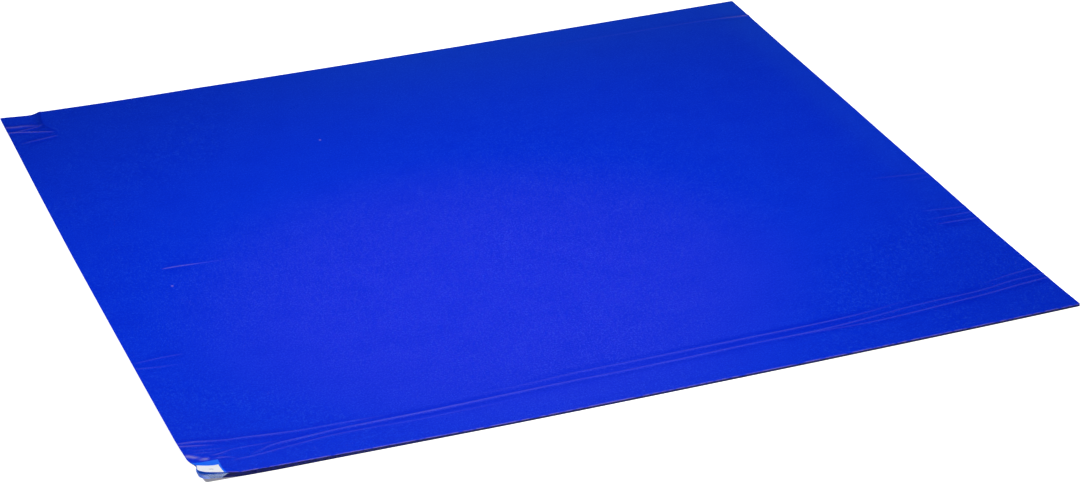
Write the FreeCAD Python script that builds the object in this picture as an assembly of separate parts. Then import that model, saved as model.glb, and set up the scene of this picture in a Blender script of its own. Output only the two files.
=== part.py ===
"""A sticky floor mat for a cleanroom doorway, lying flat and unused.

It is a pad of thin blue film sheets, each with a coat of tack on its top face, on one release
liner. Every sheet carries a label on its near left corner, to lift it by. The labels make that
corner thicker than the rest, so the sheets climb a ramp to a shelf there, and past the shelf
the free corners curl up and fan apart above the liner.

Millimetres. +X runs along the near edge, +Y away from it and +Z up. The origin is the middle
of the underside.
"""
import FreeCAD
import Part
import math
import os

# Overall sizes
mat_width = 914.0
mat_depth = 914.0
plain_corner_radius = 2.0
label_corner_radius = 12.0
liner_corner_radius = 3.0

# Layers in the flat of the mat, from the floor up
liner_thickness = 0.10
liner_glue = 0.02
sheet_count = 30
film_thickness = 0.055
tack_thickness = 0.015

# Labels, each stuck on the top face of its own sheet
label_width = 27.0
label_depth = 32.0
label_thickness = 0.08
label_glue = 0.01
label_slack = 0.01

# The labelled corner, in distances from it along the mat's diagonal
ramp_length = 120.0
curl_length = 32.0
lowest_curl = 4.2
highest_curl = 7.1

# What follows from the sizes above
sheet_pitch = film_thickness + tack_thickness
label_pitch = film_thickness + label_glue + label_thickness + label_slack
rise_per_sheet = label_pitch - sheet_pitch
lowest_sheet_height = liner_thickness + liner_glue
labelled_corner = FreeCAD.Vector(-mat_width / 2, -mat_depth / 2, 0)
up = FreeCAD.Vector(0, 0, 1)
fold_angle = math.radians(45)
inward = FreeCAD.Vector(math.cos(fold_angle), math.sin(fold_angle), 0)
along_fold = up.cross(inward)
shelf_length = label_width * inward.x + label_depth * inward.y
mat_diagonal = math.hypot(mat_width, mat_depth)


def rounded_outline(width, depth, radii):
    """A flat face with one corner on the labelled corner, its corners rounded, that one first."""
    corners = [
        labelled_corner,
        labelled_corner + FreeCAD.Vector(width, 0, 0),
        labelled_corner + FreeCAD.Vector(width, depth, 0),
        labelled_corner + FreeCAD.Vector(0, depth, 0),
    ]
    edges = []
    starts = []
    ends = []
    for index, corner in enumerate(corners):
        before = (corners[index - 1] - corner).normalize()
        after = (corners[(index + 1) % 4] - corner).normalize()
        radius = radii[index]
        starts.append(corner + before * radius)
        ends.append(corner + after * radius)
        if radius > 0:
            middle = corner + (before + after) * radius * (1 - math.sqrt(0.5))
            edges.append(Part.Arc(starts[-1], middle, ends[-1]).toShape())
    for index in range(4):
        edges.append(Part.makeLine(ends[index], starts[(index + 1) % 4]))
    return Part.Face(Part.Wire(Part.__sortEdges__(edges)))


def sheet_height(number):
    """The height of a sheet's lower face in the flat of the mat; sheet 0 is the lowest."""
    return lowest_sheet_height + number * sheet_pitch


def fold_profile(number):
    """How a sheet's lower face runs in from the corner: pairs of distance and height."""
    flat = sheet_height(number)
    shelf = flat + number * rise_per_sheet
    curl = lowest_curl + (highest_curl - lowest_curl) * number / (sheet_count - 1)
    curl_slope = curl / curl_length
    past_the_corner = 1.0
    return [
        (-past_the_corner, shelf + curl + curl_slope * past_the_corner),
        (curl_length, shelf),
        (shelf_length, shelf),
        (shelf_length + ramp_length, flat),
        (mat_diagonal + past_the_corner, flat),
    ]


def folded_slab(profile, thickness):
    """A slab of one thickness with that profile, as wide as the mat's diagonal each way."""
    lower = [labelled_corner + inward * distance + up * height for distance, height in profile]
    upper = [point + up * thickness for point in reversed(lower)]
    section = Part.Face(Part.makePolygon(lower + upper + lower[:1]))
    section.translate(along_fold * -mat_diagonal)
    return section.extrude(along_fold * 2 * mat_diagonal)


def cut_from(slab, outline):
    """The piece of a slab that lies over an outline, as a knife would cut it."""
    tall_enough = slab.BoundBox.ZMax + 1.0
    return outline.extrude(up * tall_enough).common(slab).Solids[0]


def film_sheet(number):
    return cut_from(folded_slab(fold_profile(number), film_thickness), mat_outline)


def label(number):
    on_the_film = film_thickness + label_glue
    profile = [(distance, height + on_the_film) for distance, height in fold_profile(number)]
    return cut_from(folded_slab(profile, label_thickness), label_outline)


def release_liner():
    return liner_outline.extrude(up * liner_thickness)


plain_radii = [plain_corner_radius] * 3
mat_outline = rounded_outline(mat_width, mat_depth, [label_corner_radius] + plain_radii)
liner_outline = rounded_outline(mat_width, mat_depth, [liner_corner_radius] + plain_radii)
label_outline = rounded_outline(label_width, label_depth, [label_corner_radius, 0, 0, 0])
sheets = [film_sheet(number) for number in range(sheet_count)]
labels = [label(number) for number in range(sheet_count)]

nodes = {
    "release_liner": release_liner(),
    "film_sheets": Part.makeCompound(sheets[:-1]),
    "sheet_labels": Part.makeCompound(labels[:-1]),
    "top_sheet": sheets[-1],
    "top_label": labels[-1],
}

os.makedirs("parts", exist_ok=True)
for name, shape in nodes.items():
    shape.exportStep(f"parts/{name}.step")
    solids = shape.Solids
    print(name, len(solids), "solids", round(sum(solid.Volume for solid in solids), 1), "mm3")
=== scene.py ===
"""A sticky floor mat for a cleanroom doorway, as it looks lying unused on a white floor.

The mat is a pad of thirty blue film sheets on a milky release liner. Each sheet has a label on
its near left corner, and there the stack is thicker, curls up and fans apart. The top sheet has
long soft ridges along its near edge, where the pad was bent, and wrinkles at its corners.

Everything is in metres in the CAD model's frame. Places on the mat's face are measured from the
labelled corner: across runs along the near edge and back runs away from it.
"""

import math

import bpy
import numpy as np
from mathutils import Matrix, Vector


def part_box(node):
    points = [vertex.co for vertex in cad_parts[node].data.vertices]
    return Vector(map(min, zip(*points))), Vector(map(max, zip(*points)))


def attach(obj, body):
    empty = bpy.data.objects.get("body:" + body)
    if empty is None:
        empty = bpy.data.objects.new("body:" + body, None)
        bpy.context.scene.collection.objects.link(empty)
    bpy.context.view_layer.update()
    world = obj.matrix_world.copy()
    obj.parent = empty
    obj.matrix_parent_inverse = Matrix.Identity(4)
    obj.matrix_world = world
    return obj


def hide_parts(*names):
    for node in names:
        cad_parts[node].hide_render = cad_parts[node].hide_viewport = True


bl_info = {
    "name": "Sticky Floor Mat",
    "version": (1, 0, 0),
    "blender": (4, 5, 0),
    "location": "View3D > Sidebar > Floor Mat",
    "description": "Builds a peel-off sticky floor mat and the studio that it is shown in",
    "category": "Add Mesh",
}

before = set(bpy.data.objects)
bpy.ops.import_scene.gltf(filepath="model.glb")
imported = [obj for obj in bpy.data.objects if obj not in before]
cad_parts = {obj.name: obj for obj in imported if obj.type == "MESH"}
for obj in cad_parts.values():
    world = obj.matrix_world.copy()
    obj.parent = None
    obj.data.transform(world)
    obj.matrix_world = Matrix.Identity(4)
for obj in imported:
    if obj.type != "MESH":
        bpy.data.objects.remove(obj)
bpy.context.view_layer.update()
liner_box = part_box("release_liner")
sheets_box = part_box("film_sheets")
label_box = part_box("top_label")

MM = 0.001

# The labelled corner. Its tip rises over the first of these distances from the corner, and the
# left side leans in over the second. The lean is eased within the next two, across and back.
TIP_REACH = 60 * MM
LEAN_REACH = 40 * MM
EASE_ACROSS = 14 * MM
EASE_BACK = 40 * MM

# The pinch of the left side there: how far back it lies on the top sheet, how long it is, how
# far across it reaches, and how much further back it lies for each unit further down the stack.
PINCH_BACK = 21 * MM
PINCH_LENGTH = 6 * MM
PINCH_REACH = 16 * MM
PINCH_SLANT = 1.9

# The fan's wider gaps, by the number of the sheet over them, and how far a sheet may have slipped.
WIDE_GAPS = [4, 9, 13, 18, 23]
SLIP = 0.14 * MM

# The far left corner sinks again over this stretch across and this one back.
DROOP_ACROSS = (47 * MM, 35 * MM)
DROOP_BACK = (848 * MM, 890 * MM)
DROOP_TIP = 34 * MM

# The top sheet lies a little higher along the left side, over these stretches.
LEFT_STRIP_ACROSS = (70 * MM, 60 * MM)
LEFT_STRIP_START = (570 * MM, 630 * MM)
LEFT_STRIP_END = (870 * MM, 830 * MM)
LEFT_STRIP_HEIGHT = 0.30 * MM

# It also has faint waves, each this high. They start past the label, over this stretch.
WAVE_HEIGHT = 0.02 * MM
WAVE_START = (60 * MM, 120 * MM)

# A ridge this tall has a crest of full painted highlight. Painted shade lies in a hollow this far
# beside a ridge and this wide.
FULL_RIDGE = 0.5 * MM
HOLLOW_BESIDE = 5.5 * MM
HOLLOW_WIDTH = 2.8 * MM

# Where the painted sheen of the lamp above is strongest on the film, from the middle of the mat,
# and how fast that falls off each way.
LAMP_SHEEN_PLACE = (-73 * MM, -173 * MM)
LAMP_SHEEN_FALL = (7.3, 7.9)

# The near rim's mask, which carries a painted glint along the near edge, fades out over this
# distance from the near edge.
NEAR_RIM = 8 * MM

# The labels' print: how soft its edges are, and the number's size and place on the label.
PRINT_EDGE = 0.3 * MM
NUMBER_SIZE = 4.6 * MM
NUMBER_ACROSS = 14.5 * MM
NUMBER_BACK = 10.5 * MM
NUMBER_ABOVE = 0.02 * MM

# The studio: the floor, and where the soft lamps hang and how wide they are. The key lamp looks
# straight down.
FLOOR_SIZE = 14
FLOOR_DROP = 0.02 * MM
KEY_PLACE = (-0.144, -0.197, 0.70)
KEY_SIZE = 1.08
SIDE_PLACE = (1.712, 0.80, 1.0)
SIDE_SIZE = 1.0


def length_setting(name, description, default, precision=5):
    return bpy.props.FloatProperty(
        name=name, description=description, default=default, precision=precision,
        unit="LENGTH", subtype="DISTANCE")


def ratio_setting(name, description, default):
    return bpy.props.FloatProperty(name=name, description=description, default=default)


def angle_setting(name, description, degrees):
    return bpy.props.FloatProperty(
        name=name, description=description, default=math.radians(degrees), subtype="ANGLE")


def colour_setting(name, description, default):
    return bpy.props.FloatVectorProperty(
        name=name, description=description, default=default, subtype="COLOR", size=3,
        min=0, max=1)


class MatLayers(bpy.types.PropertyGroup):
    """The mat's sizes."""

    mat_width: length_setting("Width", "Along the near edge", liner_box[1].x - liner_box[0].x)
    mat_depth: length_setting("Depth", "Away from the near edge", liner_box[1].y - liner_box[0].y)
    liner_thickness: length_setting(
        "Liner", "Thickness of the release liner", liner_box[1].z - liner_box[0].z)
    lowest_sheet: length_setting(
        "Lowest sheet", "Height of the lowest sheet's lower face", sheets_box[0].z)
    sheet_count: bpy.props.IntProperty(
        name="Sheets", description="How many film sheets are in the pad", default=30,
    )
    film_thickness: length_setting("Film", "Thickness of one film sheet", 0.055 * MM, precision=6)
    tack_thickness: length_setting(
        "Tack", "Thickness of the tack on a sheet's top face", 0.015 * MM, precision=6)
    top_clearance: length_setting(
        "Top clearance", "How much further up the top sheet lies, so that its finer mesh stays "
        "clear of the sheet under it", 0.04 * MM, precision=6)
    label_width: length_setting(
        "Label width", "Along the near edge", label_box[1].x - label_box[0].x)
    label_depth: length_setting(
        "Label depth", "Along the left edge", label_box[1].y - label_box[0].y)
    label_thickness: length_setting(
        "Label thickness", "Thickness of one label", 0.08 * MM, precision=6)
    label_pitch: length_setting(
        "Label pitch", "Height of one sheet with its label and glue", 0.155 * MM, precision=6)
    label_glue: length_setting(
        "Label glue", "Thickness of the glue under a label", 0.01 * MM, precision=6)
    band_depth: length_setting(
        "Band", "Depth of the blue band along a label's back side", 10.2 * MM)
    border_width: length_setting(
        "Border", "Width of the blue border along a label's right side", 2.0 * MM)
    lowest_reach: ratio_setting(
        "Lowest reach", "How wide the lowest label is, as a share of the top one's", 0.74)
    reach_gain: ratio_setting(
        "Reach gain", "How much wider than that the label under the top one is", 0.33)
    label_corner: length_setting("Labelled corner", "Radius of the labelled corner", 9 * MM)
    liner_corner: length_setting(
        "Liner corner", "Radius of the liner under the labelled corner", 3 * MM)
    plain_corner: length_setting("Plain corners", "Radius of the other three corners", 2 * MM)


class MatPose(bpy.types.PropertyGroup):
    """How the mat lies: where its corners rise off the floor, and how the labels fan."""

    near_left_lift: length_setting("Near left", "Rise of that corner of the whole pad", 1.56 * MM)
    near_right_lift: length_setting(
        "Near right", "Rise of that corner of the whole pad", 4.86 * MM)
    far_right_lift: length_setting("Far right", "Rise of that corner of the whole pad", 0.3 * MM)
    far_left_lift: length_setting("Far left", "Rise of that corner of the whole pad", 5.48 * MM)
    far_left_droop: length_setting(
        "Far left droop", "How far that corner's tip sinks again past a crease", 2.2 * MM)
    label_corner_lift: length_setting(
        "Labelled tip", "Extra rise of the whole pad at the labelled corner", 0.6 * MM)
    highest_curl: length_setting(
        "Top curl", "How far the top sheet curls up at the labelled corner", 7.7 * MM)
    lowest_curl: length_setting(
        "Lowest curl", "How far the lowest sheet curls up there", 4.3 * MM)
    curl_length: length_setting(
        "Curl length", "How far in the curl reaches, along the diagonal", 30 * MM, precision=4)
    side_lean: ratio_setting(
        "Side lean", "How far the left side leans in for each unit that it goes down", 0.7)
    fan_lean: ratio_setting("Fan lean", "The same for the height that the curl adds", 0.5)
    curl_pull: ratio_setting(
        "Curl pull", "How far a sheet is drawn in from the left for each unit that it curls up",
        0.27)
    side_pinch: length_setting(
        "Side pinch", "How far the sheets' left side is pinched in where the curl starts",
        2.9 * MM)
    corner_ease: ratio_setting(
        "Corner ease", "How much of the side's lean the sheets lose at the labelled corner", 0.8)
    second_curl: ratio_setting(
        "Second curl", "Where the sheet under the top one curls to, from the lowest curl at 0 to "
        "the top one's at 1", 0.15)
    ramp_length: length_setting(
        "Ramp", "How far the sheets slope down from the labels' shelf", 160 * MM, precision=4)


class MatFinish(bpy.types.PropertyGroup):
    """The mat's colours."""

    film_colour: colour_setting("Film", "Colour of the blue film", (0.0002, 0.0254, 0.665))
    # Painted sheen: this colour stands in for the lamp's reflection on the film where the lamp
    # above shines on it most steeply.
    film_warm: colour_setting(
        "Film under the lamp", "Colour of the blue film where the lamp above shines on it most "
        "steeply", (0.0190, 0.0240, 0.665))
    # Used for real wear, dust and specks, and for the painted highlights on ridge crests and the
    # painted glint along the near edge.
    film_pale: colour_setting(
        "Stretched film", "Colour where the film is creased or worn", (0.26, 0.20, 0.64))
    # Used for the film's own deeper grain, and for the painted shade in the hollows beside ridges
    # and in dark creases.
    film_deep: colour_setting(
        "Clinging film", "Colour where the film clings to the sheet under it", (0.0, 0.018, 0.60))
    cut_edge: colour_setting(
        "Cut edges", "Colour of the sheets' cut edges, seen end on", (0.027, 0.036, 0.24))
    label_field: colour_setting(
        "Label field", "Colour of a label's plain part", (0.86, 0.87, 0.90))
    label_border: colour_setting(
        "Label border", "Colour of the band along two of a label's sides", (0.0, 0.130, 0.93))
    label_ink: colour_setting(
        "Label number", "Colour of the number on a label", (0.20, 0.21, 0.24))
    liner_colour: colour_setting("Liner", "Colour of the milky release liner", (0.56, 0.56, 0.50))


class MatStudio(bpy.types.PropertyGroup):
    """The camera and the lamps."""

    focal_length: bpy.props.FloatProperty(
        name="Focal length", description="On a sensor 36 mm wide", unit="CAMERA", default=114.62,
    )
    azimuth: angle_setting("Azimuth", "Of the camera round the mat", -18.659)
    elevation: angle_setting("Elevation", "Of the camera above the floor", 25.635)
    roll: angle_setting("Roll", "Of the camera about its view", -2.124)
    distance: bpy.props.FloatProperty(
        name="Distance", description="From the camera to the point it looks at", unit="LENGTH",
        subtype="DISTANCE", default=3.6472,
    )
    target: bpy.props.FloatVectorProperty(
        name="Target", description="The point that the camera looks at", subtype="XYZ", size=3,
        unit="LENGTH", default=(0.0109, -0.0891, 0.0),
    )
    key_power: bpy.props.FloatProperty(
        name="Key lamp", description="Power of the soft lamp above the mat", unit="POWER",
        default=9.05,
    )
    side_power: bpy.props.FloatProperty(
        name="Side lamp", description="Power of the soft lamp beyond the right edge",
        unit="POWER", default=14.0,
    )
    even_light: ratio_setting("Even light", "Strength of the light from all round", 0.02)
    floor_glow: ratio_setting(
        "Floor glow", "How much whiter the floor looks than the lamps make it", 0.95)


def smooth(share):
    """From 0 to 1 with level ends."""
    share = np.clip(share, 0.0, 1.0)
    return share * share * (3.0 - 2.0 * share)


def eased(value, start, end):
    """From 0 at start to 1 at end, with level ends. The end may be the smaller of the two."""
    return smooth((value - start) / (end - start))


def fading(distance, reach):
    """From 1 at no distance, evenly down to 0 at the reach."""
    return np.clip(1 - distance / reach, 0, 1)


def line_places(*stretches):
    """Where grid lines go, from 0: each stretch is its end and its spacing, in millimetres."""
    places = [0.0]
    for end, spacing in stretches:
        steps = max(1, round((end - places[-1]) / spacing))
        places += list(np.linspace(places[-1], end, steps + 1)[1:])
    return np.array(places) * MM


class Stack:
    """Where each layer of the mat runs. Layer -1 is the liner and layer 0 the lowest sheet."""

    def __init__(self, scene):
        self.layers = scene.mat_layers
        self.pose = scene.mat_pose
        self.origin = Vector((-self.layers.mat_width / 2, -self.layers.mat_depth / 2, 0))
        self.top = self.layers.sheet_count - 1
        draws = np.random.default_rng(30)
        gaps = draws.uniform(0.3, 1.0, self.top)
        gaps[WIDE_GAPS] += 3.0
        self.fan = np.cumsum(gaps) / gaps.sum()
        self.slip = draws.uniform(-SLIP, SLIP, (self.top + 2, 2))
        self.slip[[-1, -2]] = 0.0
        self.label_height = self.layers.film_thickness + self.layers.label_glue

    def inward(self, across, back):
        """How far a place is from the labelled corner, along the mat's diagonal."""
        return (across + back) / math.sqrt(2)

    def lift(self, across, back):
        """Height of the whole pad's underside."""
        pose = self.pose
        sideways = 2 * across / self.layers.mat_width - 1
        endways = 2 * back / self.layers.mat_depth - 1
        left, right = np.clip(-sideways, 0, 1) ** 2, np.clip(sideways, 0, 1) ** 2
        near, far = np.clip(-endways, 0, 1) ** 2, np.clip(endways, 0, 1) ** 2
        height = pose.near_left_lift * left * near + pose.near_right_lift * right * near
        height = height + pose.far_left_lift * left * far + pose.far_right_lift * right * far
        tip = fading(self.inward(across, back), TIP_REACH) ** 2
        droop = eased(across, *DROOP_ACROSS) * eased(back, *DROOP_BACK)
        droop = droop * (0.35 + 0.65 * eased(across, 0, DROOP_TIP))
        return height + pose.label_corner_lift * tip - pose.far_left_droop * droop

    def curl(self, number, across, back):
        """How far a sheet curls up at the labelled corner: each one further than the sheet
        under it, so that their edges fan apart there."""
        pose = self.pose
        if number < 0:
            return np.zeros_like(across)
        share = 1.0 if number == self.top else pose.second_curl * self.fan[number]
        height = pose.lowest_curl + (pose.highest_curl - pose.lowest_curl) * share
        return height * fading(self.inward(across, back), pose.curl_length) ** 1.15

    def lean(self, number, across, back):
        """How far a layer is set in from the left edge, more so the lower it is."""
        under = self.rise(self.top, across, back) - self.rise(number, across, back)
        fan = self.curl(self.top, across, back) - self.curl(number, across, back)
        fade = fading(across, LEAN_REACH)
        if number >= 0:
            near_corner = fading(across, EASE_ACROSS) * fading(back, EASE_BACK)
            fade = fade * (1 - self.pose.corner_ease * near_corner)
        return (self.pose.side_lean * under + self.pose.fan_lean * fan) * fade

    def slipped(self, number, across, back):
        """Where a layer's places lie once it leans, curls, is pinched in, slips and bows out."""
        slip = self.slip[number]
        drawn_in = self.lean(number, across, back)
        drawn_in = drawn_in + self.pose.curl_pull * self.curl(number, across, back)
        drop = self.height(self.top, across, back) - self.height(number, across, back)
        beyond = back - PINCH_BACK - PINCH_SLANT * drop
        pinch = np.exp(-0.5 * (beyond / PINCH_LENGTH) ** 2) * fading(across, PINCH_REACH) ** 1.5
        drawn_in = drawn_in + self.pose.side_pinch * pinch
        return self.bowed(across + drawn_in + slip[0], back + slip[1])

    def bowed(self, across, back):
        """Where a place lies once the sides bow out a little, as a soft pad's do."""
        width, depth = self.layers.mat_width, self.layers.mat_depth
        sideways, endways = across / width, back / depth
        left = np.interp(endways, *LEFT_BOW) * eased(across, BOW_REACH, 0)
        right = np.interp(endways, *RIGHT_BOW) * eased(width - across, BOW_REACH, 0)
        near = np.interp(sideways, *NEAR_BOW) * eased(back, BOW_REACH, 0)
        far = np.interp(sideways, *FAR_BOW) * eased(depth - back, BOW_REACH, 0)
        return across + (right - left) * MM, back + (far - near) * MM

    def rise(self, number, across, back):
        """Height of a layer's lower face over the liner's, up the ramp to the labels' shelf."""
        if number < 0:
            return np.zeros_like(across)
        layers = self.layers
        pitch = layers.film_thickness + layers.tack_thickness
        shelf = (layers.label_width + layers.label_depth) / math.sqrt(2)
        distance = self.inward(across, back)
        ramp = fading(distance - shelf, self.pose.ramp_length) ** 1.5
        clearance = layers.top_clearance if number == self.top else 0.0
        height = number * (pitch + (layers.label_pitch - pitch) * ramp)
        return layers.lowest_sheet + height + clearance

    def height(self, number, across, back):
        """Height of a layer's lower face."""
        rise = self.rise(number, across, back) + self.curl(number, across, back)
        return self.lift(across, back) + rise

    def lay(self, piece, number, across, back, above=0.0):
        """Puts a flat piece's vertices where its layer lies, or that far above it."""
        height = self.height(number, across, back) + above
        across, back = self.slipped(number, across, back)
        places = np.stack([across + self.origin.x, back + self.origin.y, height], axis=1)
        piece.data.vertices.foreach_set("co", places.ravel())
        piece.data.update()


# Ridges of the top sheet: how wide each is, how pale a highlight is painted on its crest (below 0
# for a dark crease, painted as shade), then the places it runs through with its height at each.
# All but the paleness in millimetres.
RIDGES = (
    (1.4, 1.1, (
        (-4, 76.5, 0.42), (15, 75, 0.46), (31, 71, 0.3), (46, 67.5, 0.26), (61, 66.5, 0.26),
        (81, 63.5, 0.4), (101, 61.5, 0.28), (120, 60, 0.2), (155, 59.5, 0.22), (185, 59, 0.12),
        (205, 59, 0.0),
    )),
    (1.3, 1.1, (
        (60, 31, 0.05), (72, 37, 0.18), (86, 42.5, 0.28), (115, 45.5, 0.36), (150, 49, 0.3),
        (185, 50, 0.4), (250, 51, 0.44), (320, 53, 0.32), (380, 54.5, 0.28), (440, 54.5, 0.22),
        (504, 55.5, 0.28), (554, 57, 0.3), (604, 57.5, 0.22), (654, 55.5, 0.2), (689, 53, 0.18),
        (719, 52.5, 0.24), (754, 54, 0.27), (804, 58, 0.29), (839, 60.5, 0.27), (879, 65.5, 0.27),
        (918, 69, 0.28),
    )),
    (1.2, 1.7, (
        (38, 25, 0.0), (46, 26, 0.16), (62, 27.5, 0.18), (80, 30.5, 0.18), (95, 33, 0.12),
        (118, 36.5, 0.16), (142, 39.5, 0.14), (165, 40, 0.12), (183, 40, 0.1), (225, 38.5, 0.09),
        (267, 39.5, 0.1), (330, 40, 0.0),
    )),
    (1.3, 0.85, (
        (280, 63, 0.0), (350, 66, 0.16), (400, 69.5, 0.24), (460, 70, 0.24), (554, 70.5, 0.36),
        (630, 70.5, 0.44), (679, 71.5, 0.38), (715, 74, 0.22), (741, 78.5, 0.1), (765, 82, 0.0),
    )),
    (1.3, 1.0, (
        (600, 57.5, 0.0), (640, 57, 0.24), (690, 59.5, 0.34), (720, 63, 0.2), (757, 67, 0.22),
        (794, 69, 0.22), (826, 69.5, 0.24), (849, 72, 0.22), (874, 77, 0.22), (890, 78, 0.2),
        (918, 79, 0.18),
    )),
    (1.2, 1.2, (
        (846, 83, 0.0), (877, 90, 0.16), (906, 94, 0.22), (918, 96, 0.24),
    )),
    (1.4, 1.8, (
        (-4, 72, 0.06), (1, 70.5, 0.36), (16, 66.5, 0.32), (26, 64, 0.12), (34, 62, 0.0),
    )),
    (1.1, 1.8, (
        (4, 59, 0.0), (16, 56.5, 0.1), (30, 54, 0.08), (44, 52, 0.0),
    )),
    (1.1, 1.8, (
        (6, 53, 0.0), (16, 50.5, 0.16), (26, 49, 0.08), (34, 48, 0.0),
    )),
    (1.1, 1.8, (
        (22, 43, 0.0), (31, 42.5, 0.26), (46, 47.3, 0.1), (61, 47.6, 0.14), (80, 47.5, 0.08),
        (96, 49, 0.0),
    )),
    (1.2, 1.8, (
        (25, 35, 0.1), (31, 35, 0.3), (38, 33, 0.14), (46, 29, 0.0),
    )),
    (3.0, 0.7, (
        (-5, 885, 0.9), (10, 882, 1.0), (22, 883, 0.8), (33, 881, 0.4), (41, 878, 0.0),
    )),
    (1.3, 1.0, (
        (6, 866, 0.2), (18, 871, 0.5), (34, 876, 0.4), (44, 880, 0.0),
    )),
    (1.3, 1.0, (
        (-5, 869, 0.9), (15, 865, 1.1), (32, 859.5, 1.0), (44, 855, 0.6), (50, 852.5, 0.0),
    )),
    (1.6, 0.8, (
        (6, 832, 0.0), (18, 835, 0.25), (34, 838, 0.42), (46, 840.5, 0.36), (52, 842, 0.0),
    )),
    (1.8, -1.2, (
        (46, 918, 0.6), (43, 893, 0.5), (43, 874, 0.4), (52, 854, 0.4), (50, 842, 0.0),
    )),
    (1.2, 1.0, (
        (0, 259, 0.0), (8, 260, 0.16), (26, 261.7, 0.2), (45, 261.7, 0.16), (52, 261.5, 0.0),
    )),
    (1.2, 1.0, (
        (-2, 248, 0.2), (12, 245, 0.22), (24, 243, 0.16), (46, 240.5, 0.0),
    )),
    (1.3, 1.0, (
        (864, 247, 0.0), (882, 246.5, 0.16), (900, 246, 0.22), (918, 246, 0.22),
    )),
    (1.2, 1.0, (
        (864, 232.5, 0.0), (878, 232, 0.26), (893, 231, 0.28), (908, 230, 0.3), (918, 229, 0.3),
    )),
    (1.3, 1.0, (
        (864, 269, 0.0), (880, 266.5, 0.14), (902, 262, 0.16), (918, 261, 0.16),
    )),
    (1.6, 1.0, (
        (848, 367, 0.0), (866, 364.5, 0.1), (886, 361, 0.14), (908, 357, 0.14), (918, 355, 0.14),
    )),
    (1.3, 1.0, (
        (876, 347, 0.0), (892, 346.5, 0.08), (918, 346, 0.1),
    )),
    (2.2, 0.8, (
        (600, 871, 0.0), (730, 870, 0.07), (830, 869, 0.11), (872, 866.5, 0.18),
        (900, 862.5, 0.75), (918, 860, 0.85),
    )),
    (1.2, 2.6, (
        (78, 459.4, 0.0), (84, 459.3, 0.3), (100, 458.8, 0.34), (112, 457.6, 0.26),
        (122, 457, 0.1), (140, 455.2, 0.05), (150, 454.6, 0.0),
    )),
)


# How far the mat's sides bow out: places along a side, from 0 to 1, and millimetres out there.
LEFT_BOW = ((0, 0.035, 0.08, 0.3, 0.57, 0.75, 1), (0, 0, 1.4, 1.35, 2.0, 1.8, 0.8))
RIGHT_BOW = ((0, 0.05, 0.22, 0.36, 0.66, 0.82, 1), (0.4, -0.2, -0.5, 0.8, 0.7, -0.2, -0.1))
NEAR_BOW = ((0, 0.035, 0.08, 0.15, 0.35, 0.62, 0.8, 1), (0, 0, 0.9, 0.8, 2.1, 0.5, 0.3, 0.9))
FAR_BOW = ((0, 0.14, 0.26, 0.36, 0.6, 1), (0.8, 0.3, 2.4, 2.0, 0.4, 0.0))
BOW_REACH = 60 * MM

# Two worn specks on the top sheet, in millimetres across and back.
SPECKS = ((79, 416), (326, 714))

# The whitish streak behind the label, a painted reflection: the places that it runs through, in
# the same way, and its width.
GLARE_COURSE = ((-2, 51), (2, 49), (9, 43), (13, 38.5), (17, 37))
GLARE_WIDTH = 1.7 * MM


def smooth_course(points, steps=8):
    """More points through the given ones, on a curve that passes smoothly through each."""
    points = np.array(points, float)
    padded = np.vstack([2 * points[0] - points[1], points, 2 * points[-1] - points[-2]])
    course = []
    for index in range(1, len(padded) - 2):
        before, start, end, after = padded[index - 1:index + 3]
        for step in range(steps):
            t = step / steps
            course.append(0.5 * (2 * start + (end - before) * t
                                 + (2 * before - 5 * start + 4 * end - after) * t ** 2
                                 + (3 * start - before - 3 * end + after) * t ** 3))
    course.append(points[-1])
    return np.array(course)


def ridge_relief(across, back):
    """Height of the ridges over the top sheet, how much highlight is painted near their crests,
    and how much shade is painted in a dark crease or in the hollow beside a ridge."""
    height = np.zeros_like(across)
    crest_highlight = np.zeros_like(across)
    hollow_shade = np.zeros_like(across)
    beside = np.zeros_like(across)
    for width, paleness, points in RIDGES:
        course = smooth_course(points) * MM
        nearest = np.full(across.shape, 1.0)
        tall = np.zeros_like(across)
        for start, end in zip(course[:-1], course[1:]):
            step = end - start
            along = (across - start[0]) * step[0] + (back - start[1]) * step[1]
            share = np.clip(along / (step[0] ** 2 + step[1] ** 2), 0.0, 1.0)
            apart = np.hypot(across - start[0] - share * step[0],
                             back - start[1] - share * step[1])
            closer = apart < nearest
            nearest = np.where(closer, apart, nearest)
            tall = np.where(closer, start[2] + share * step[2], tall)
        tall = np.clip(tall, 0.0, None)
        width = width * MM
        height += tall * np.exp(-0.5 * (nearest / width) ** 2)
        line = tall / FULL_RIDGE * np.exp(-0.5 * (nearest / (0.5 * width)) ** 2)
        crest_highlight += max(paleness, 0.0) * line
        hollow_shade += max(-paleness, 0.0) * line
        depth = tall / FULL_RIDGE * np.clip(1.4 - tall / (0.8 * MM), 0.15, 1) / max(paleness, 1.0)
        depth = depth * (paleness > 0)
        off_hollow = (nearest - HOLLOW_BESIDE) / HOLLOW_WIDTH
        beside = np.maximum(beside, depth * np.exp(-0.5 * off_hollow ** 2))
    return height, np.clip(crest_highlight, 0, 2.0), np.clip(hollow_shade + beside, 0, 1.6)


def glare(across, back):
    """How much a place lies in the whitish streak behind the label, a painted reflection of the
    light.
    """
    nearest = np.full(across.shape, 1.0)
    for place in smooth_course(GLARE_COURSE) * MM:
        nearest = np.minimum(nearest, np.hypot(across - place[0], back - place[1]))
    return np.exp(-0.5 * (nearest / GLARE_WIDTH) ** 2)


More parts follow.
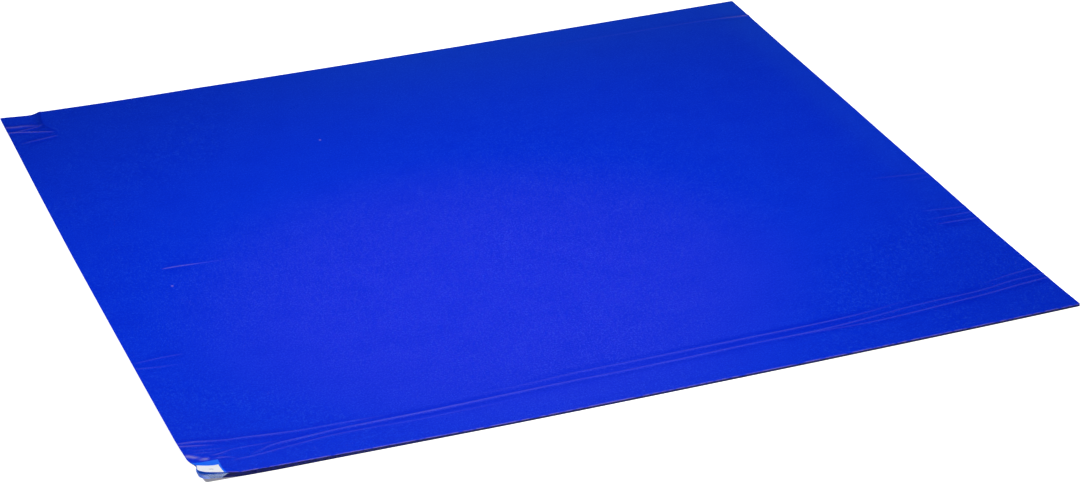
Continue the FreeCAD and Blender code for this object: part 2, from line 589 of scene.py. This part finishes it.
def top_sheet_relief(across, back):
    """What lifts the top sheet off the one under it, and where highlight is painted on its crests
    and shade in its hollows and creases.
    """
    height, crest_highlight, hollow_shade = ridge_relief(across, back)
    left_strip = eased(across, *LEFT_STRIP_ACROSS)
    left_strip = left_strip * eased(back, *LEFT_STRIP_START) * eased(back, *LEFT_STRIP_END)
    waves = np.zeros_like(across)
    draws = np.random.default_rng(7)
    for _ in range(6):
        length = draws.uniform(70, 190) * MM
        turn = draws.uniform(0, math.pi)
        phase = draws.uniform(0, 2 * math.pi)
        along = across * math.cos(turn) + back * math.sin(turn)
        waves += 0.5 + 0.5 * np.sin(2 * math.pi * along / length + phase)
    waves *= eased(np.hypot(across, back), *WAVE_START)
    return height + LEFT_STRIP_HEIGHT * left_strip + WAVE_HEIGHT * waves, crest_highlight, hollow_shade


def only_select(*pieces):
    """Selects those pieces and nothing else, with the first as the active object."""
    bpy.ops.object.select_all(action="DESELECT")
    for piece in pieces:
        piece.select_set(True)
    if pieces:
        bpy.context.view_layer.objects.active = pieces[0]


def film_grid(name, columns, rows):
    """A flat rectangular grid with its lines at those stretches from the labelled corner, and
    where its vertices lie from there."""
    columns, rows = line_places(*columns), line_places(*rows)
    only_select()
    bpy.ops.mesh.primitive_grid_add(
        x_subdivisions=len(columns) - 1, y_subdivisions=len(rows) - 1, size=1, calc_uvs=True
    )
    piece = bpy.context.object
    piece.name = name
    piece.data.name = name
    spots = vertex_places(piece)
    column = np.rint((spots[:, 0] + 0.5) * (len(columns) - 1)).astype(int)
    row = np.rint((spots[:, 1] + 0.5) * (len(rows) - 1)).astype(int)
    return piece, columns[column], rows[row]


def vertex_places(piece):
    """The places of a piece's vertices, one a row."""
    places = np.empty(len(piece.data.vertices) * 3)
    piece.data.vertices.foreach_get("co", places)
    return places.reshape(-1, 3)


def round_corners(across, back, width, depth, radii):
    """Moves a square grid's corners onto arcs, the labelled corner's first, then round."""
    corners = ((0, 0), (width, 0), (width, depth), (0, depth))
    for (corner_x, corner_y), radius in zip(corners, radii):
        if radius <= 0:
            continue
        turn_x, turn_y = (1 if corner_x == 0 else -1), (1 if corner_y == 0 else -1)
        out_x = radius - turn_x * (across - corner_x)
        out_y = radius - turn_y * (back - corner_y)
        inside = (out_x > 0) & (out_y > 0)
        round_x = out_x * np.sqrt(1 - out_y ** 2 / (2 * radius ** 2))
        round_y = out_y * np.sqrt(1 - out_x ** 2 / (2 * radius ** 2))
        across = np.where(inside, corner_x + turn_x * (radius - round_x), across)
        back = np.where(inside, corner_y + turn_y * (radius - round_y), back)
    return across, back


def rounded_piece(name, columns, rows, width, depth, radii):
    """A flat grid with rounded corners and its UV map spread evenly over it, and where its
    vertices lie from the labelled corner."""
    piece, across, back = film_grid(name, columns, rows)
    across, back = round_corners(across, back, width, depth, radii)
    corners = np.empty(len(piece.data.loops), int)
    piece.data.loops.foreach_get("vertex_index", corners)
    spread = np.stack([across[corners] / width, back[corners] / depth], axis=1)
    piece.data.uv_layers.active.data.foreach_set("uv", spread.ravel())
    return piece, across, back


def flat_sheet(layers, name, columns, rows, radius):
    """A sheet of the mat's size, with that radius at the labelled corner."""
    return rounded_piece(name, columns, rows, layers.mat_width, layers.mat_depth,
                         [radius] + [layers.plain_corner] * 3)


def flat_label(layers, name):
    """A label before it is stuck on its sheet."""
    columns = ((12, 1.5), (layers.label_width / MM, 2))
    rows = ((12, 1.5), (layers.label_depth / MM, 2))
    return rounded_piece(name, columns, rows, layers.label_width, layers.label_depth,
                         [layers.label_corner, 0, 0, 0])


def own_copy(context, pattern):
    """A copy of the pattern with its own mesh."""
    copy = pattern.copy()
    copy.data = pattern.data.copy()
    context.collection.objects.link(copy)
    return copy


def give_materials(piece, face, edge):
    """The first is for a piece's faces and the second for its rim."""
    piece.data.materials.append(face)
    piece.data.materials.append(edge)


def give_thickness(piece, thickness):
    """Thickens a sheet upwards from its lower face and gives its rim the second material."""
    only_select(piece)
    solidify = piece.modifiers.new("Thickness", "SOLIDIFY")
    solidify.thickness = thickness
    solidify.offset = 1.0
    solidify.material_offset_rim = 1
    bpy.ops.object.modifier_apply(modifier=solidify.name)


def smooth_faces(piece):
    """Shades a piece smoothly over all but its sharp edges."""
    only_select(piece)
    bpy.ops.object.shade_smooth_by_angle(angle=math.radians(50))


def join_pieces(pieces, name):
    """Joins pieces into one of that name."""
    only_select(*pieces)
    bpy.ops.object.join()
    joined = bpy.context.object
    joined.name = name
    joined.data.name = name
    return joined


def finish_piece(piece, node):
    """Rides the piece on the mat's only body, in the place of its CAD node."""
    if not piece.data.vertices:
        raise RuntimeError(f"the piece for {node} has no mesh")
    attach(piece, "root")
    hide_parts(node)


class Wire:
    """A number that runs through a material's nodes, with Python's operators for its maths."""

    def __init__(self, shader, socket):
        self.shader = shader
        self.socket = socket

    def maths(self, operation, *values):
        inputs = dict(enumerate(values))
        return self.shader.wire("ShaderNodeMath", {"operation": operation}, inputs)

    def __add__(self, other):
        return self.maths("ADD", self, other)

    def __sub__(self, other):
        return self.maths("SUBTRACT", self, other)

    def __rsub__(self, other):
        return self.maths("SUBTRACT", other, self)

    def __mul__(self, other):
        return self.maths("MULTIPLY", self, other)

    __radd__ = __add__
    __rmul__ = __mul__

    def least(self, other):
        return self.maths("MINIMUM", self, other)

    def most(self, other):
        return self.maths("MAXIMUM", self, other)

    def ease(self, low, high):
        """From 0 at low to 1 at high, with level ends."""
        ends = {"From Min": low, "From Max": high, "Value": self}
        settings = {"interpolation_type": "SMOOTHSTEP"}
        return self.shader.wire("ShaderNodeMapRange", settings, ends)


class Shader:
    """One material, with the nodes that its pattern is made of."""

    def __init__(self, name):
        self.material = bpy.data.materials.new(name)
        self.material.use_nodes = True
        self.tree = self.material.node_tree
        self.tree.nodes.clear()

    def node(self, kind, settings=None, inputs=None):
        """A new node: its settings are set first, and then its sockets' values or links."""
        node = self.tree.nodes.new(kind)
        for key, value in (settings or {}).items():
            setattr(node, key, value)
        for key, value in (inputs or {}).items():
            if isinstance(value, Wire):
                self.tree.links.new(value.socket, node.inputs[key])
            else:
                node.inputs[key].default_value = value
        return node

    def wire(self, kind, settings=None, inputs=None, output=0):
        return Wire(self, self.node(kind, settings, inputs).outputs[output])

    def place(self):
        """A place's X and Y as two numbers."""
        split = self.node("ShaderNodeSeparateXYZ", inputs={0: self.coordinates()})
        return [Wire(self, split.outputs[index]) for index in range(2)]

    def coordinates(self, stretch=(1, 1, 1)):
        spot = self.wire("ShaderNodeTexCoord", output="Object")
        if stretch == (1, 1, 1):
            return spot
        return self.wire("ShaderNodeMapping", inputs={"Vector": spot, "Scale": stretch})

    def attribute(self, name):
        return self.wire("ShaderNodeAttribute", {"attribute_name": name}, output="Fac")

    def noise(self, scale, detail=2.0, stretch=(1, 1, 1), rough=0.5):
        inputs = {"Vector": self.coordinates(stretch), "Scale": scale, "Detail": detail,
                  "Roughness": rough}
        return self.wire("ShaderNodeTexNoise", inputs=inputs, output="Fac")

    def specks(self, scale):
        inputs = {"Vector": self.coordinates(), "Scale": scale}
        return self.wire("ShaderNodeTexVoronoi", {"feature": "F1"}, inputs, "Distance")

    def blend(self, share, first, second):
        """Mixes two colours."""
        colours = [colour if isinstance(colour, Wire) else (*colour, 1.0)
                   for colour in (first, second)]
        return self.wire("ShaderNodeMix", {"data_type": "RGBA"},
                         {0: share, 6: colours[0], 7: colours[1]}, output=2)

    def bump(self, height, strength, distance):
        inputs = {"Height": height, "Strength": strength, "Distance": distance}
        return self.wire("ShaderNodeBump", inputs=inputs, output="Normal")

    def surface(self, **values):
        """Ends the material in a Principled shader with those values."""
        inputs = {key.replace("_", " ").title().replace("Ior", "IOR"): value
                  for key, value in values.items()}
        shader = self.wire("ShaderNodeBsdfPrincipled", inputs=inputs)
        return self.output(shader)

    def output(self, shader):
        self.node("ShaderNodeOutputMaterial", inputs={"Surface": shader})
        return self.material


def film_face_material(scene):
    """Blue tacky film: a fine grain, faint rolling streaks and dust, with painted light:
    highlights on ridge crests and a glint along the near edge, a sheen under the lamp and towards
    the far and right edges, a reflection behind the label, and shade in hollows and dark creases.
    """
    finish, layers = scene.mat_finish, scene.mat_layers
    shader = Shader("film_face")
    x, y = shader.place()
    grain = shader.noise(420.0, 2.0, rough=0.6)
    fine = shader.noise(760.0, 1.0, stretch=(1.0, 0.55, 1.0))
    mottle = shader.noise(26.0, 3.0)
    streaks = shader.noise(6.0, 3.0, stretch=(1.0, 26.0, 1.0))
    crest_highlight = shader.attribute("crest_highlight")
    hollow_shade = shader.attribute("hollow_shade")
    # Deeper blue: painted shade in the hollows beside ridges and in dark creases, mixed with the
    # film's own grain, mottle and streaks.
    deep_and_shade = hollow_shade * 0.95 + (grain - 0.5) * 2.4 + (mottle - 0.5) * 0.8
    deep_and_shade = (deep_and_shade + (streaks - 0.5) * 0.4 + 0.2).most(0.0).least(1.0)
    # Painted sheen: the film is paler where the lamp above shines on it most steeply.
    lit_x, lit_y = x - LAMP_SHEEN_PLACE[0], y - LAMP_SHEEN_PLACE[1]
    lit = (1 - lit_x * lit_x * LAMP_SHEEN_FALL[0] - lit_y * lit_y * LAMP_SHEEN_FALL[1]).ease(0.0, 1.0)
    lamp_sheen = lit * ((fine - 0.5) * 4.0 + 0.78)
    plain = shader.blend(lamp_sheen.most(0.0), finish.film_colour, finish.film_warm)
    speckled = shader.blend((fine - 0.5) * 0.9 + 0.01, plain, (0.045, 0.20, 0.97))
    body = shader.blend(deep_and_shade, speckled, finish.film_deep)
    # Painted sheen: the film is paler towards the far edge and along the right edge, as light
    # reflected at a grazing angle.
    far = ((y - 0.05) * 2.5).most(0.0)
    far = far * far * far * ((x + 0.28).ease(0.0, 0.36) * 0.75 + 0.25)
    right = x.ease(0.405, 0.445) * (y + 0.45).ease(0.0, 0.6)
    body = shader.blend(far * 0.26 + right * 0.13, body, (0.012, 0.10, 0.66))
    # Painted glint: flecks of paler colour along the near edge.
    flecks = shader.noise(160.0, 2.0)
    edge_glint = shader.attribute("near_rim").ease(0.74, 0.94) * flecks.ease(0.34, 0.58)
    dust = (1 - shader.specks(230.0).ease(0.05, 0.11)) * shader.noise(31.0, 1.0).ease(0.64, 0.70)
    marks = 0.0
    for mark_across, mark_back in SPECKS:
        off_x = x + layers.mat_width / 2 - mark_across * MM
        off_y = y + layers.mat_depth / 2 - mark_back * MM
        marks = 1 - (off_x * off_x + off_y * off_y * 0.5).ease(0.6e-6, 3.0e-6) + marks
    # Paler colour: painted highlights on ridge crests and a painted glint along the near edge,
    # with real dust and worn specks.
    pale_and_highlight = crest_highlight * 0.24 + edge_glint * 0.66 + dust * 0.35 + marks * 0.45
    colour = shader.blend(pale_and_highlight.most(0.0).least(1.0), body, finish.film_pale)
    # Painted reflection: the whitish streak behind the label.
    glare_reflection = shader.attribute("glare") * (shader.noise(130.0, 1.0).ease(0.34, 0.64) * 0.30 + 0.08)
    colour = shader.blend(glare_reflection, colour, (0.55, 0.45, 0.62))
    texture = grain * 0.5 + shader.noise(1400.0, 1.0) * 0.5
    return shader.surface(
        base_color=colour,
        roughness=0.30 + (grain - 0.5) * 0.10 + (mottle - 0.5) * 0.06,
        normal=shader.bump(texture, 0.10, 0.0002),
        specular_ior_level=0.08,
    )


def film_edge_material(scene):
    """The films' cut edges, seen end on as a dark navy band with paler knife marks."""
    finish = scene.mat_finish
    shader = Shader("film_edge")
    marks = shader.noise(340.0, 2.0, stretch=(1.0, 1.0, 0.15)).ease(0.58, 0.80)
    colour = shader.blend(marks * 0.35, finish.cut_edge, finish.film_pale)
    return shader.surface(base_color=colour, roughness=0.42, specular_ior_level=0.30)


def inner_label_material():
    """An inner label's face. All light on it comes through the blue film over it, so its white
    stock is given a blue colour and a faint blue glow: painted light that stands in for that.
    """
    shader = Shader("inner_label_face")
    return shader.surface(base_color=(0.02, 0.20, 0.80, 1.0), roughness=0.5,
                          emission_color=(0.0, 0.12, 0.66, 1.0), emission_strength=0.3)


def label_material(scene):
    """Satin label stock with a blue band along its back and right sides."""
    finish, layers = scene.mat_finish, scene.mat_layers
    shader = Shader("label_face")
    x, y = shader.place()
    across = x + layers.mat_width / 2
    back = y + layers.mat_depth / 2
    band_start = layers.label_depth - layers.band_depth
    border_start = layers.label_width - layers.border_width
    back_band = back.ease(band_start, band_start + PRINT_EDGE)
    side_band = across.ease(border_start, border_start + PRINT_EDGE)
    band = back_band.most(side_band)
    fibres = shader.noise(900.0, 3.0)
    smudge = shader.noise(120.0, 2.0)
    field = shader.blend((smudge - 0.5) * 0.25 + 0.10, finish.label_field, (0.62, 0.64, 0.72))
    colour = shader.blend(band, field, finish.label_border)
    return shader.surface(
        base_color=colour,
        roughness=0.45 + (fibres - 0.5) * 0.12,
        normal=shader.bump(fibres, 0.12, 0.0001),
        specular_ior_level=0.20,
    )


def label_edge_material(scene):
    """The labels' cut edges: white stock, lit blue through the films between the labels. Their
    blue colour is painted light, and a faint glow stands in for that light too, both stronger blue
    at the rounded corner."""
    shader = Shader("label_edge")
    across = shader.place()[0] + scene.mat_layers.mat_width / 2
    fibres = shader.noise(900.0, 1.0, stretch=(0.06, 0.06, 1.0))
    corner = 1 - across.ease(0.003, 0.008)
    plain = shader.blend(fibres.ease(0.3, 0.7), (0.58, 0.72, 0.88), (0.86, 0.92, 0.98))
    colour = shader.blend(corner * 0.8, plain, (0.03, 0.22, 0.85))
    glow = shader.blend(corner * 0.8, (0.36, 0.52, 0.86), (0.0, 0.10, 0.70))
    return shader.surface(
        base_color=colour, roughness=0.6, emission_color=glow, emission_strength=0.5)


def ink_material(finish):
    """The number's grey ink, a little worn."""
    shader = Shader("label_ink")
    wear = shader.noise(1500.0, 2.0).ease(0.4, 0.9)
    colour = shader.blend(wear * 0.4, finish.label_ink, finish.label_field)
    return shader.surface(base_color=colour, roughness=0.5)


def liner_material(scene):
    """Milky release liner, with a fine haze. It passes on light from outside the stack, and a
    faint glow stands in for that."""
    finish = scene.mat_finish
    shader = Shader("milky_liner")
    haze = shader.noise(180.0, 3.0)
    clouds = shader.noise(14.0, 2.0)
    share = ((haze - 0.5) * 0.5 + (clouds - 0.5) * 0.6 + 0.25).ease(0.0, 1.0)
    colour = shader.blend(share, finish.liner_colour, (0.66, 0.66, 0.61))
    return shader.surface(
        base_color=colour,
        roughness=0.38 + (haze - 0.5) * 0.2,
        normal=shader.bump(haze, 0.08, 0.0002),
        emission_color=(1.0, 0.98, 0.82, 1.0),
        emission_strength=0.25,
    )


def floor_material(glow):
    """A white floor that the mat's shadow still shows on."""
    shader = Shader("studio_floor")
    rays = shader.node("ShaderNodeLightPath")
    seen = Wire(shader, rays.outputs["Is Camera Ray"])
    for name in ("Is Glossy Ray", "Is Transmission Ray"):
        seen = seen.most(Wire(shader, rays.outputs[name]))
    sweep = shader.noise(3.0, 2.0)
    colour = shader.blend(sweep, (0.80, 0.80, 0.80), (0.83, 0.83, 0.83))
    paint = shader.wire("ShaderNodeBsdfDiffuse", inputs={"Color": colour})
    light = shader.wire(
        "ShaderNodeEmission", inputs={"Color": (1, 1, 1, 1), "Strength": seen * glow})
    both = shader.wire("ShaderNodeAddShader", inputs={0: paint, 1: light})
    return shader.output(both)


# Where the grid lines of the liner and the inner sheets go, and then those of the top sheet, which
# are close together over its ridges: each stretch is its end and its spacing, in millimetres.
SHEET_COLUMNS = (
    (12, 2), (25, 3.2), (50, 5), (62, 6), (92, 15), (150, 29), (230, 40), (457, 76),
    (800, 86), (880, 40), (908, 14), (912, 2), (914, 1),
)
SHEET_ROWS = (
    (12, 2), (25, 3.2), (50, 5), (62, 6), (92, 15), (150, 29), (230, 40), (457, 76),
    (780, 81), (845, 33), (895, 10), (908, 13), (912, 2), (914, 1),
)
TOP_COLUMNS = (
    (12, 1.2), (30, 1.5), (62, 1.6), (130, 4), (850, 12), (910, 2.1), (914, 1),
)
TOP_ROWS = (
    (12, 1.2), (30, 1.6), (98, 0.8), (130, 3.2), (225, 9.5), (270, 1.2), (340, 8.8),
    (368, 1.4), (452, 9.3), (466, 0.8), (825, 12), (895, 1.2), (910, 1.7), (914, 1),
)


class MAT_OT_release_liner(bpy.types.Operator):
    """Add the milky liner under the lowest sheet"""

    bl_idname = "mat.release_liner"
    bl_label = "Release Liner"

    def execute(self, context):
        scene = context.scene
        layers = scene.mat_layers
        piece, across, back = flat_sheet(
            layers, "liner", SHEET_COLUMNS, SHEET_ROWS, layers.liner_corner)
        Stack(scene).lay(piece, -1, across, back)
        liner = liner_material(scene)
        give_materials(piece, liner, liner)
        give_thickness(piece, layers.liner_thickness)
        finish_piece(piece, "release_liner")
        return {"FINISHED"}


class MAT_OT_film_sheets(bpy.types.Operator):
    """Add the film sheets that lie between the liner and the top sheet"""

    bl_idname = "mat.film_sheets"
    bl_label = "Film Sheets"

    def execute(self, context):
        scene = context.scene
        layers = scene.mat_layers
        stack = Stack(scene)
        face, edge = film_face_material(scene), film_edge_material(scene)
        face.name, edge.name = "inner_film_face", "inner_film_edge"
        pattern, across, back = flat_sheet(
            layers, "sheet", SHEET_COLUMNS, SHEET_ROWS, layers.label_corner)
        give_materials(pattern, face, edge)
        sheets = []
        for number in range(stack.top):
            sheet = own_copy(context, pattern)
            stack.lay(sheet, number, across, back)
            give_thickness(sheet, layers.film_thickness)
            sheets.append(sheet)
        bpy.data.objects.remove(pattern)
        piece = join_pieces(sheets, "inner_sheets")
        finish_piece(piece, "film_sheets")
        return {"FINISHED"}


class MAT_OT_sheet_labels(bpy.types.Operator):
    """Add the labels of the inner sheets, which show where the corner fans apart"""

    bl_idname = "mat.sheet_labels"
    bl_label = "Sheet Labels"

    def execute(self, context):
        scene = context.scene
        layers = scene.mat_layers
        stack = Stack(scene)
        pattern, across, back = flat_label(layers, "label")
        give_materials(pattern, inner_label_material(), label_edge_material(scene))
        labels = []
        for number in range(stack.top):
            label = own_copy(context, pattern)
            reach = layers.lowest_reach + layers.reach_gain * number / (stack.top - 1)
            stack.lay(label, number, across * reach, back, stack.label_height)
            give_thickness(label, layers.label_thickness)
            labels.append(label)
        bpy.data.objects.remove(pattern)
        piece = join_pieces(labels, "inner_labels")
        finish_piece(piece, "sheet_labels")
        return {"FINISHED"}


class MAT_OT_top_sheet(bpy.types.Operator):
    """Add the top sheet, with its ridges and wrinkles"""

    bl_idname = "mat.top_sheet"
    bl_label = "Top Sheet"

    def execute(self, context):
        scene = context.scene
        layers = scene.mat_layers
        stack = Stack(scene)
        piece, across, back = flat_sheet(
            layers, "upper_sheet", TOP_COLUMNS, TOP_ROWS, layers.label_corner)
        relief, crest_highlight, hollow_shade = top_sheet_relief(across, back)
        stack.lay(piece, stack.top, across, back, relief)
        # Masks for the painted highlights on the crests, the painted shade in hollows and creases,
        # the painted reflection behind the label and the painted glint along the near rim.
        masks = {"crest_highlight": crest_highlight, "hollow_shade": hollow_shade, "glare": glare(across, back),
                 "near_rim": fading(back, NEAR_RIM)}
        for name, values in masks.items():
            attribute = piece.data.attributes.new(name, "FLOAT", "POINT")
            attribute.data.foreach_set("value", values.astype(np.float32))
        give_materials(piece, film_face_material(scene), film_edge_material(scene))
        give_thickness(piece, layers.film_thickness)
        smooth_faces(piece)
        finish_piece(piece, "top_sheet")
        return {"FINISHED"}


class MAT_OT_top_label(bpy.types.Operator):
    """Add the top sheet's label with its number"""

    bl_idname = "mat.top_label"
    bl_label = "Top Label"

    def execute(self, context):
        scene = context.scene
        layers = scene.mat_layers
        stack = Stack(scene)
        piece, across, back = flat_label(layers, "upper_label")
        stack.lay(piece, stack.top, across, back, stack.label_height)
        give_materials(piece, label_material(scene), label_edge_material(scene))
        give_thickness(piece, layers.label_thickness)
        number = self.number(context, stack)
        smooth_faces(piece)
        piece = join_pieces([piece, number], "upper_label")
        finish_piece(piece, "top_label")
        sheet = bpy.data.objects.get("upper_sheet")
        if sheet is None:
            raise RuntimeError("the top label needs the top sheet")
        return {"FINISHED"}

    def number(self, context, stack):
        """The count of sheets left, printed small on the label."""
        layers = stack.layers
        only_select()
        bpy.ops.object.text_add()
        text = context.object
        text.data.body = str(layers.sheet_count)
        text.data.align_x = "CENTER"
        text.data.align_y = "CENTER"
        text.data.size = NUMBER_SIZE
        bpy.ops.object.convert(target="MESH")
        text = context.object
        places = vertex_places(text)
        across = places[:, 0] + NUMBER_ACROSS
        back = places[:, 1] + NUMBER_BACK
        above = stack.label_height + layers.label_thickness + NUMBER_ABOVE
        stack.lay(text, stack.top, across, back, above)
        text.data.materials.clear()
        text.data.materials.append(ink_material(context.scene.mat_finish))
        return text


class MAT_OT_stage(bpy.types.Operator):
    """Add the floor, the lamps and the camera"""

    bl_idname = "mat.stage"
    bl_label = "Stage"

    def execute(self, context):
        scene = context.scene
        studio = scene.mat_studio
        only_select()
        bpy.ops.mesh.primitive_plane_add(size=FLOOR_SIZE, location=(0, 0, -FLOOR_DROP))
        floor = context.object
        floor.name = "floor"
        floor.data.materials.append(floor_material(studio.floor_glow))
        self.lamp(context, "key", KEY_PLACE, (*KEY_PLACE[:2], 0), KEY_SIZE, studio.key_power)
        self.lamp(context, "side", SIDE_PLACE, (0, 0, 0), SIDE_SIZE, studio.side_power)
        world = bpy.data.worlds.new("studio_air")
        world.use_nodes = True
        background = world.node_tree.nodes["Background"]
        background.inputs["Color"].default_value = (1.0, 1.0, 1.0, 1.0)
        background.inputs["Strength"].default_value = studio.even_light
        scene.world = world
        self.camera(context)
        scene.view_settings.view_transform = "Standard"
        return {"FINISHED"}

    def lamp(self, context, name, location, target, size, power):
        only_select()
        bpy.ops.object.light_add(type="AREA", location=location)
        lamp = context.object
        lamp.name = name
        lamp.data.shape = "SQUARE"
        lamp.data.size = size
        lamp.data.energy = power
        view = Vector(target) - Vector(location)
        lamp.rotation_euler = view.to_track_quat("-Z", "Y").to_euler()
        lamp.visible_camera = False
        lamp.visible_glossy = name == "key"

    def camera(self, context):
        studio = context.scene.mat_studio
        turn, rise, roll = studio.azimuth, studio.elevation, studio.roll
        back = Vector((math.sin(turn) * math.cos(rise), -math.cos(turn) * math.cos(rise),
                       math.sin(rise)))
        right = Vector((math.cos(turn), math.sin(turn), 0))
        up = back.cross(right)
        rolled_right = right * math.cos(roll) + up * math.sin(roll)
        rolled_up = up * math.cos(roll) - right * math.sin(roll)
        axes = Matrix((rolled_right, rolled_up, back)).transposed()
        only_select()
        bpy.ops.object.camera_add()
        camera = context.object
        camera.name = "camera"
        camera.data.sensor_width = 36.0
        camera.data.lens = studio.focal_length
        place = Vector(studio.target) + back * studio.distance
        camera.matrix_world = Matrix.Translation(place) @ axes.to_4x4()
        context.scene.camera = camera


class MAT_PT_sidebar(bpy.types.Panel):
    """The mat's sizes, colours and pieces"""

    bl_label = "Sticky Floor Mat"
    bl_idname = "MAT_PT_sidebar"
    bl_space_type = "VIEW_3D"
    bl_region_type = "UI"
    bl_category = "Floor Mat"

    def draw(self, context):
        scene = context.scene
        for title, group in (("Layers", scene.mat_layers), ("Pose", scene.mat_pose),
                             ("Finish", scene.mat_finish), ("Studio", scene.mat_studio)):
            box = self.layout.box()
            box.label(text=title)
            for name in group.__annotations__:
                box.prop(group, name)
        for operator in OPERATORS:
            self.layout.operator(operator.bl_idname)


GROUPS = {
    "mat_layers": MatLayers,
    "mat_pose": MatPose,
    "mat_finish": MatFinish,
    "mat_studio": MatStudio,
}
OPERATORS = (
    MAT_OT_release_liner,
    MAT_OT_film_sheets,
    MAT_OT_sheet_labels,
    MAT_OT_top_sheet,
    MAT_OT_top_label,
    MAT_OT_stage,
)


def register():
    for group in (*GROUPS.values(), *OPERATORS, MAT_PT_sidebar):
        bpy.utils.register_class(group)
    for name, group in GROUPS.items():
        setattr(bpy.types.Scene, name, bpy.props.PointerProperty(type=group))


def unregister():
    for name in GROUPS:
        delattr(bpy.types.Scene, name)
    for group in reversed((*GROUPS.values(), *OPERATORS, MAT_PT_sidebar)):
        bpy.utils.unregister_class(group)


def main():
    register()
    bpy.ops.mat.release_liner()
    bpy.ops.mat.film_sheets()
    bpy.ops.mat.sheet_labels()
    bpy.ops.mat.top_sheet()
    bpy.ops.mat.top_label()
    bpy.ops.mat.stage()


if __name__ == "__main__":
    main()
